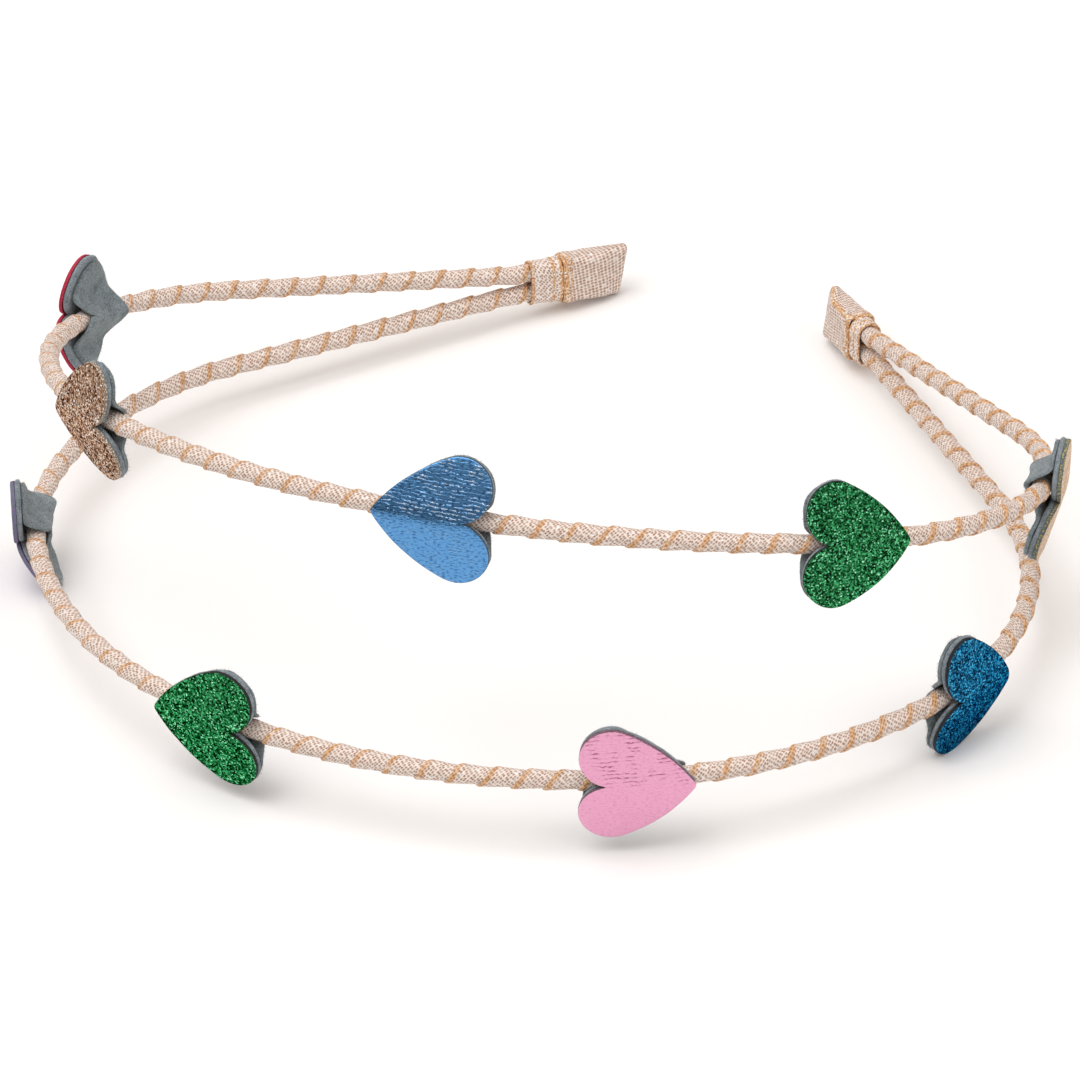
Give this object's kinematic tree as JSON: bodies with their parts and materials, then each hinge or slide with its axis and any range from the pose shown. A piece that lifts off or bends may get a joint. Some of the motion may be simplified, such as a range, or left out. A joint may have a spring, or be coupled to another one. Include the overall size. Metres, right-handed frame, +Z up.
{
  "type": "heart headband",
  "caption": "Child's C-shaped headband of tape-wound wire strands that part over the head, meet in cloth end caps, and carry folded felt hearts with glitter and foil faces.",
  "frame": {"origin": "on the surface that the band lies on, under the middle of its box", "axes": "+Z up from the surface, +X across the band from its left end to its right, +Y from the crown towards the caps"},
  "size_m": [0.141, 0.125, 0.0461],
  "materials": {
    "knit_tape": "pale metallic knit tape, wound in laps",
    "binding_tape": "the same tape with folded edges",
    "woven_cap": "plain weave with tan hems",
    "front_felt": "blue-grey felt, matt",
    "back_felt": "green-grey felt, matt",
    "crimson_foil": "smooth foil",
    "bronze_glitter": "glitter cloth, bronze and gold flakes",
    "blue_foil": "wrinkled foil, bright",
    "green_glitter": "glitter cloth, deep green flakes",
    "yellow_glitter": "glitter cloth, pale peach-gold, with yellow thread ends at its cut edge",
    "lilac_glitter": "glitter cloth, lilac and purple flakes",
    "pink_foil": "wrinkled foil, pearly",
    "blue_glitter": "glitter cloth, blue flakes"
  },
  "bodies": {
    "root": {"upper_strand": "knit_tape", "lower_strand": "knit_tape", "left_binding": "binding_tape", "left_cap": "woven_cap", "right_binding": "binding_tape", "right_cap": "woven_cap", "red_heart_face": "crimson_foil", "red_heart_front_felt": "front_felt", "red_heart_back_felt": "back_felt", "gold_heart_face": "bronze_glitter", "gold_heart_front_felt": "front_felt", "gold_heart_back_felt": "back_felt", "blue_foil_heart_face": "blue_foil", "blue_foil_heart_front_felt": "front_felt", "blue_foil_heart_back_felt": "back_felt", "upper_green_heart_face": "green_glitter", "upper_green_heart_front_felt": "front_felt", "upper_green_heart_back_felt": "back_felt", "yellow_heart_face": "yellow_glitter", "yellow_heart_front_felt": "front_felt", "yellow_heart_back_felt": "back_felt", "lilac_heart_face": "lilac_glitter", "lilac_heart_front_felt": "front_felt", "lilac_heart_back_felt": "back_felt", "lower_green_heart_face": "green_glitter", "lower_green_heart_front_felt": "front_felt", "lower_green_heart_back_felt": "back_felt", "pink_heart_face": "pink_foil", "pink_heart_front_felt": "front_felt", "pink_heart_back_felt": "back_felt", "blue_glitter_heart_face": "blue_glitter", "blue_glitter_heart_front_felt": "front_felt", "blue_glitter_heart_back_felt": "back_felt"}
  },
  "joints": []
}
